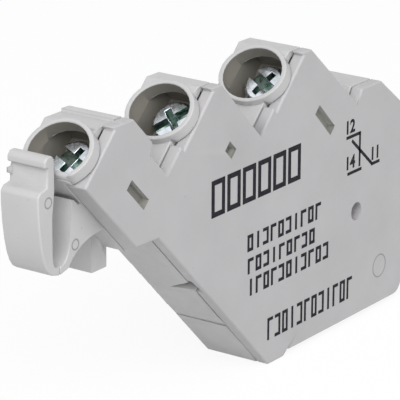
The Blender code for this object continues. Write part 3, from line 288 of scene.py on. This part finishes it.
def smooth(item):
    """Shade round faces smooth, with flat faces kept flat beside their rounded edges."""
    item.data.shade_smooth()
    item.data.set_sharp_from_angle(angle=SHARP_ANGLE)
    weighted = item.modifiers.new("flat faces", "WEIGHTED_NORMAL")
    weighted.keep_sharp = True


def noise(tree, place, scale, detail):
    """Noise texture in object space, with its scale in features per metre."""
    node = tree.nodes.new("ShaderNodeTexNoise")
    node.inputs["Scale"].default_value = scale
    node.inputs["Detail"].default_value = detail
    tree.links.new(place, node.inputs["Vector"])
    return node.outputs["Fac"]


def mapped(tree, value, low, high, from_low=0.3, from_high=0.7):
    """Value mapped to a range."""
    node = tree.nodes.new("ShaderNodeMapRange")
    node.inputs["From Min"].default_value = from_low
    node.inputs["From Max"].default_value = from_high
    node.inputs["To Min"].default_value = low
    node.inputs["To Max"].default_value = high
    tree.links.new(value, node.inputs["Value"])
    return node.outputs["Result"]


def mixed(tree, factor, first, second):
    """Colour between two colours."""
    node = tree.nodes.new("ShaderNodeMix")
    node.data_type = "RGBA"
    for socket, colour in ((node.inputs[6], first), (node.inputs[7], second)):
        if isinstance(colour, tuple):
            socket.default_value = (*colour, 1.0)
        else:
            tree.links.new(colour, socket)
    tree.links.new(factor, node.inputs[0])
    return node.outputs[2]


def start_material(name):
    """New material with its tree, shader and object-space place."""
    made = bpy.data.materials.new(name)
    made.use_nodes = True
    tree = made.node_tree
    place = tree.nodes.new("ShaderNodeTexCoord").outputs["Object"]
    return made, tree, tree.nodes["Principled BSDF"], place


def add_bump(tree, shader, height, strength, distance):
    """Bump from a height."""
    bump = tree.nodes.new("ShaderNodeBump")
    bump.inputs["Strength"].default_value = strength
    bump.inputs["Distance"].default_value = distance
    tree.links.new(height, bump.inputs["Height"])
    tree.links.new(bump.outputs["Normal"], shader.inputs["Normal"])


def scaled_colour(colour, factor):
    """Colour made lighter or darker."""
    return tuple(channel * factor for channel in colour)


def plastic(name, colour, rough=(0.4, 0.52)):
    """Satin moulded plastic: faint flow marks, specks, uneven gloss and a fine spark-eroded grain."""
    made, tree, shader, place = start_material(name)
    flow = mapped(tree, noise(tree, place, scale=130, detail=3.0), 0.0, 1.0)
    body = mixed(tree, flow, scaled_colour(colour, 0.96), scaled_colour(colour, 1.03))
    specks = mapped(tree, noise(tree, place, scale=2600, detail=1.0), 0.0, 0.6, from_low=0.74, from_high=0.8)
    tree.links.new(mixed(tree, specks, body, scaled_colour(colour, 0.6)), shader.inputs["Base Color"])
    gloss = mapped(tree, noise(tree, place, scale=700, detail=3.0), *rough)
    tree.links.new(gloss, shader.inputs["Roughness"])
    shader.inputs["Specular IOR Level"].default_value = 0.45
    add_bump(tree, shader, noise(tree, place, scale=5200, detail=2.0), strength=0.25, distance=0.02 * MM)
    return made


def metal(name, colour, tint, rough):
    """Plated metal: patches of tint, uneven polish and fine marks."""
    made, tree, shader, place = start_material(name)
    patch = mapped(tree, noise(tree, place, scale=900, detail=3.0), 0.0, 1.0, from_low=0.45, from_high=0.65)
    tree.links.new(mixed(tree, patch, colour, tint), shader.inputs["Base Color"])
    polish = mapped(tree, noise(tree, place, scale=1700, detail=4.0), *rough)
    tree.links.new(polish, shader.inputs["Roughness"])
    shader.inputs["Metallic"].default_value = 1.0
    add_bump(tree, shader, noise(tree, place, scale=3500, detail=3.0), strength=0.2, distance=0.03 * MM)
    return made


def ink(name, colour, worn_colour, rough):
    """Dark print with slightly uneven cover."""
    made, tree, shader, place = start_material(name)
    worn = mapped(tree, noise(tree, place, scale=4000, detail=2.0), 0.0, 1.0)
    tree.links.new(mixed(tree, worn, colour, worn_colour), shader.inputs["Base Color"])
    gloss = mapped(tree, noise(tree, place, scale=2500, detail=2.0), *rough)
    tree.links.new(gloss, shader.inputs["Roughness"])
    shader.inputs["Specular IOR Level"].default_value = 0.2
    add_bump(tree, shader, noise(tree, place, scale=6000, detail=1.0), strength=0.2, distance=0.01 * MM)
    return made


def make_materials():
    """Finishes by slot names of the record, painted shade for port walls, windows, marks and screw recesses,
    and ink.
    """
    return {
        "base_plastic": plastic("base_plastic_skin", (0.55, 0.545, 0.545)),
        "cover_plastic": plastic("cover_plastic_skin", (0.49, 0.48, 0.485)),
        "switch_plastic": plastic("switch_plastic_skin", (0.03, 0.03, 0.035)),
        "lever_plastic": plastic("lever_plastic_skin", (0.62, 0.56, 0.42)),
        "zinc_plate": metal("zinc_plate_skin", (0.82, 0.85, 0.93), (0.60, 0.68, 0.70), (0.16, 0.34)),
        "tinned_copper": metal("tinned_copper_skin", (0.75, 0.68, 0.58), (0.66, 0.52, 0.38), (0.25, 0.45)),
        "silver": metal("silver_skin", (0.88, 0.87, 0.85), (0.70, 0.69, 0.68), (0.2, 0.4)),
        # painted shade: a dark brownish grey for the port walls and floors, which are of the base's grey
        # plastic
        "painted_port_shade": plastic("painted_port_shade_skin", (0.235, 0.22, 0.19), (0.5, 0.65)),
        # painted shade: a darker grey for the walls of the cover's blind windows, which are of the cover's
        # plastic
        "painted_window_shade": plastic("painted_window_shade_skin", (0.30, 0.295, 0.27), (0.5, 0.65)),
        # painted shade: a darker grey for the moulding rings, which are of the pieces' own plastic
        "painted_mark_shade": plastic("painted_mark_shade_skin", (0.30, 0.295, 0.30), (0.45, 0.6)),
        # painted shade: the greenish zinc of the screws' slots drawn much darker than the head's zinc
        "recess": metal("recess_skin", (0.30, 0.38, 0.35), (0.07, 0.14, 0.11), (0.25, 0.45)),
        "ink": ink("print_ink", (0.002, 0.002, 0.005), (0.010, 0.010, 0.018), (0.55, 0.7)),
    }


def dress_nodes(materials):
    """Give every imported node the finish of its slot."""
    for row in frame["record"]["subparts"]:
        item = frame["nodes"][row["node"]]
        for place in item.material_slots:
            place.link = "OBJECT"
            place.material = materials[row["material_slot"]]


def node_copy(name):
    """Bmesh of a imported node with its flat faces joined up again."""
    builder = bmesh.new()
    builder.from_mesh(frame["nodes"][name].data)
    bmesh.ops.remove_doubles(builder, verts=builder.verts, dist=MERGE)
    bmesh.ops.dissolve_limit(builder, angle_limit=FLAT_ANGLE, verts=builder.verts, edges=builder.edges)
    return builder


def has_room(edge, width):
    """True if the edges that meet an edge's ends leave room for its rounding."""
    neighbours = {other for vert in edge.verts for other in vert.link_edges}
    return all(other.calc_length() > ROOM_FACTOR * width for other in neighbours)


def round_edges(builder, width, keep=None):
    """Round the outer edges that have room; keep says which edges stay as they are.

    A narrow corner can push a point of its rounding out through the piece's front or back, so every point is
    brought back between the two.
    """
    chosen = []
    for edge in builder.edges:
        if len(edge.link_faces) != 2 or edge.calc_face_angle_signed() < EDGE_ANGLE:
            continue
        if has_room(edge, width) and not (keep and keep(edge)):
            chosen.append(edge)
    front = min(vert.co.y for vert in builder.verts)
    back = max(vert.co.y for vert in builder.verts)
    bmesh.ops.bevel(builder, geom=chosen, offset=width, segments=ROUND_STEPS, profile=0.5, affect="EDGES")
    for vert in builder.verts:
        vert.co.y = min(back, max(front, vert.co.y))


def move_plane(builder, axis, level, distance):
    """Move the points that lie on a plane along its axis."""
    for vert in builder.verts:
        if abs(vert.co[axis] - level) < MERGE:
            vert.co[axis] += distance


def paint(builder, picked):
    """Give the piece's second finish to the faces that a test picks, and the first to the rest."""
    for face in builder.faces:
        face.material_index = 1 if picked(face) else 0


def stand_in(name, body, finishes, width, change, keep=None):
    """Piece in place of a node, changed and then rounded at its edges."""
    builder = node_copy(name)
    change(builder)
    round_edges(builder, width, keep)
    piece = mesh_object(f"{name}_skin", builder, finishes)
    smooth(piece)
    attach(piece, body)
    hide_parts(name)


def turned(vector):
    """A direction on the ports' own axes: S, across the block's thickness, and T."""
    return (vector.x + vector.z) / ROOT2, vector.y, (vector.x - vector.z) / ROOT2


def port_axes(index, point):
    """A point on a port's own axes, from the middle of its mouth."""
    step = (index - MIDDLE_PORT) * PORT_PITCH
    return turned(point - MIDDLE_MOUTH - Vector((step, 0, 0)) * ROOT2)


def inside_port(face):
    """True for the walls and floor of a screw port, which get the painted shade."""
    out_s, out_y, out_t = turned(face.normal)
    for index in range(PORT_COUNT):
        s, y, t = port_axes(index, face.calc_center_median())
        wall = abs(out_t) < WALL_TILT and s * out_s + y * out_y < 0
        if PORT_LIP < t < PORT_LEDGE and math.hypot(s, y) < BORE_LIMIT and wall:
            return True
        if PORT_LEDGE <= t < PORT_FLOOR and abs(s) < CHAMBER_LIMIT and abs(y) < CHAMBER_LIMIT:
            if wall or abs(out_t) > FLOOR_FACING:
                return True
    return False


def in_recess(index, face):
    """True for the faces inside the slot and cross of a screw, which get the painted shade."""
    s, y, t = port_axes(index, face.calc_center_median())
    return t > RECESS_DEPTH and math.hypot(s, y) < RECESS_RADIUS


def at_window(point):
    """True for places on the outline or inside of a blind window of the cover."""
    low_s, high_s = WINDOW_SIDES
    for index, (start, length) in enumerate(WINDOWS):
        s, _, t = port_axes(index, point)
        across = low_s - WINDOW_MARGIN < s < high_s + WINDOW_MARGIN
        if across and start - WINDOW_MARGIN < t < start + length + WINDOW_MARGIN:
            return True
    return False


def at_split(edge, split):
    """True for an edge of the seam between the clip's outer arm and the rest of the clip."""
    return all(abs(vert.co.x - split) < SEAM_FILL for vert in edge.verts)


def add_base(materials, split):
    """Base with rounded edges, painted shade in its ports and shallower grooves between the ribs of its lower
    face.
    """
    groove = LOWER_FACE + RIB_DEPTH
    fill = Vector((1, 0, 1)).normalized() * (RIB_DEPTH - RIB_SHOWN)

    def shape(builder):
        for vert in builder.verts:
            if abs(port_axes(MIDDLE_PORT, vert.co)[0] - groove) < RIB_MARGIN:
                vert.co -= fill
        paint(builder, inside_port)

    def keep(edge):
        return at_split(edge, split)

    finishes = [materials["base_plastic"], materials["painted_port_shade"]]
    stand_in("base_housing", "housing", finishes, BASE_ROUND, shape, keep)


def add_cover(materials):
    """Cover with rounded edges, painted shade in its windows and a tighter seam behind it."""
    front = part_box("front_cover")[0][1]
    tip_level = front + NOSE_TIP + NOSE_TIP_BACK

    # Faces inside the blind windows, which get the painted shade
    def in_window(face):
        middle = face.calc_center_median()
        return middle.y > front + 2 * FACE_SINK and at_window(middle)

    def shape(builder):
        move_plane(builder, Y_AXIS, front + NOSE_TIP, NOSE_TIP_BACK)
        move_plane(builder, Y_AXIS, front, FACE_SINK)
        levels = {round(vert.co.y / MERGE) * MERGE for vert in builder.verts}
        for level in sorted(levels, reverse=True):
            if level > front + COVER_REAR:
                move_plane(builder, Y_AXIS, level, SEAM_FILL)
        paint(builder, in_window)

    def at_tip(vert):
        s, y, t = port_axes(MIDDLE_PORT, vert.co)
        near = abs(t - NOSE_TIP_T) < NOSE_AREA and s < LOWER_FACE + NOSE_TIP_REACH
        return near and abs(y - tip_level) < NOSE_AREA / 2

    def keep(edge):
        middle = (edge.verts[0].co + edge.verts[1].co) / 2
        return at_window(middle) or any(at_tip(vert) for vert in edge.verts)

    finishes = [materials["cover_plastic"], materials["painted_window_shade"]]
    stand_in("front_cover", "housing", finishes, COVER_ROUND, shape, keep)


def add_clip(materials, split):
    """Outer arm of the clip with rounded edges and a tighter seam at its end."""
    def close_split(builder):
        move_plane(builder, X_AXIS, split, SPLIT_FILL)

    def keep(edge):
        return at_split(edge, split)

    stand_in("latch_arm", "latch", [materials["base_plastic"]], ARM_ROUND, close_split, keep)


def add_screws(materials):
    """Screws with rounded edges and painted shade in their recesses."""
    finishes = [materials["zinc_plate"], materials["recess"]]
    for index in range(PORT_COUNT):
        name = f"terminal_screw_{index + 1}"

        def shade(builder):
            paint(builder, lambda face: in_recess(index, face))

        stand_in(name, f"screw_{index + 1}", finishes, SCREW_ROUND, shade)


def add_plate(builder, corners, low_y, high_y):
    """Add a flat plate to a bmesh, from corners in the X-Z plane."""
    near = [builder.verts.new((x, low_y, z)) for x, z in corners]
    far = [builder.verts.new((x, high_y, z)) for x, z in corners]
    builder.faces.new(near)
    builder.faces.new(far[::-1])
    for side in range(len(near)):
        after = (side + 1) % len(near)
        builder.faces.new((near[after], near[side], far[side], far[after]))


def rectangle(x, z, width, height):
    """Corners of an upright rectangle."""
    return [(x, z), (x + width, z), (x + width, z + height), (x, z + height)]


def stroke(start, end, half):
    """Corners of a straight stroke."""
    a, b = Vector(start), Vector(end)
    side = Vector((a.y - b.y, b.x - a.x)).normalized() * half
    return [tuple(a - side), tuple(b - side), tuple(b + side), tuple(a + side)]


def mark_strokes(kind, width, height, line):
    """Rectangles of one plain mark, each with its place, width and height."""
    bottom = (0, 0, width, line)
    top = (0, height - line, width, line)
    left = (0, line, line, height - 2 * line)
    right = (width - line, line, line, height - 2 * line)
    if kind == BOX:
        return [bottom, top, left, right]
    if kind == POST:
        return [(width / 2 - line / 2, 0, line, height)]
    if kind == BRACKET:
        return [bottom, right, top]
    return [(0, 0, line, height), (line, height - line, width - line, line)]


def cover_face():
    """Level of the cover's front face."""
    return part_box("front_cover")[0][1] + FACE_SINK


def add_print(materials):
    """Rows of plain marks, the changeover symbol and the terminal numbers on the cover."""
    low, high = cover_face() - INK_PROUD, cover_face() + INK_SINK
    builder = bmesh.new()
    for row, (x, z, count, pitch, width, height, line) in enumerate(ROWS):
        for place in range(count):
            kind = MARK_ORDER[(place + MARK_SHIFT * row) % len(MARK_ORDER)] if row else BOX
            left = (x + place * pitch) * MM
            for dx, dz, w, h in mark_strokes(kind, width * MM, height * MM, line * MM):
                add_plate(builder, rectangle(left + dx, z * MM + dz, w, h), low, high)
    for start, end in SYMBOL_LINES:
        corners = stroke([value * MM for value in start], [value * MM for value in end], SYMBOL_HALF)
        add_plate(builder, corners, low, high)
    bmesh.ops.recalc_face_normals(builder, faces=builder.faces)
    piece = mesh_object("cover_print", builder, [materials["ink"]])
    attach(piece, "housing")
    for text, x, z in DIGITS:
        add_number(text, Vector((x * MM, low, z * MM)), high - low, materials["ink"])


def add_number(text, place, depth, finish):
    """Terminal number on the cover."""
    curve = bpy.data.curves.new(f"number_{text}", "FONT")
    curve.body = text
    curve.size = DIGIT_SIZE
    curve.extrude = depth / 2
    curve.offset = DIGIT_BOLD
    curve.resolution_u = DIGIT_STEPS
    made = bpy.data.objects.new(f"number_{text}", curve)
    curve.materials.append(finish)
    bpy.context.scene.collection.objects.link(made)
    made.location = place + Vector((0, depth / 2, 0))
    made.rotation_euler = (math.pi / 2, 0, 0)
    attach(made, "housing")


def ring(name, place, level, radius, body, finish):
    """Low round mark that stands a hair out of a face."""
    builder = bmesh.new()
    proud, sunk = level - RING_PROUD, level + RING_SINK
    first_top, last_top = (radius - share * RING_WIDTH for share in RING_TOP)
    loops = []
    for size, y in ((radius - RING_WIDTH, sunk), (first_top, proud), (last_top, proud), (radius, sunk)):
        loop = []
        for side in range(RING_SIDES):
            angle = 2 * math.pi * side / RING_SIDES
            x = place[0] + size * math.cos(angle)
            z = place[1] + size * math.sin(angle)
            loop.append(builder.verts.new((x, y, z)))
        loops.append(loop)
    for first, second in zip(loops, loops[1:] + loops[:1]):
        for side in range(RING_SIDES):
            after = (side + 1) % RING_SIDES
            builder.faces.new((first[side], first[after], second[after], second[side]))
    bmesh.ops.recalc_face_normals(builder, faces=builder.faces)
    piece = mesh_object(name, builder, [finish])
    smooth(piece)
    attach(piece, body)


def add_marks(materials):
    """Moulding marks, the ring on the cover and the ejector marks on the clip, in a darker grey that is
    painted shade.
    """
    ring("cover_ring", RING_PLACE, cover_face(), RING_RADIUS, "housing", materials["painted_mark_shade"])
    clip_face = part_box("latch_arm")[0][1]
    for count, (x, z, body) in enumerate(EJECTOR_PLACES):
        ring(f"ejector_mark_{count + 1}", (x, z), clip_face, EJECTOR_RADIUS, body, materials["painted_mark_shade"])


def main():
    """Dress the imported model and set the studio."""
    add_camera()
    add_world()
    add_lamp("key", **KEY_LAMP)
    add_lamp("fill", **FILL_LAMP)
    add_floor(cad_box[0][2] - FLOOR_DROP)
    materials = make_materials()
    dress_nodes(materials)
    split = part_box("latch_arm")[1][0]
    add_base(materials, split)
    add_cover(materials)
    add_clip(materials, split)
    add_screws(materials)
    add_print(materials)
    add_marks(materials)
    bpy.context.scene.view_settings.view_transform = "Standard"


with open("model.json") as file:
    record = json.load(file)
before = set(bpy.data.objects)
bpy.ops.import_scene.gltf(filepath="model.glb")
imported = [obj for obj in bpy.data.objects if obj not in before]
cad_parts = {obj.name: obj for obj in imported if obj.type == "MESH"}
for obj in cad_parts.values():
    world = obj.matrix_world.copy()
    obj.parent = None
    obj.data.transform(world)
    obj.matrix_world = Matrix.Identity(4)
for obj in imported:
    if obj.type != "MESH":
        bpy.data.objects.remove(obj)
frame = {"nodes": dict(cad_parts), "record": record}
cad_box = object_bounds()
main()
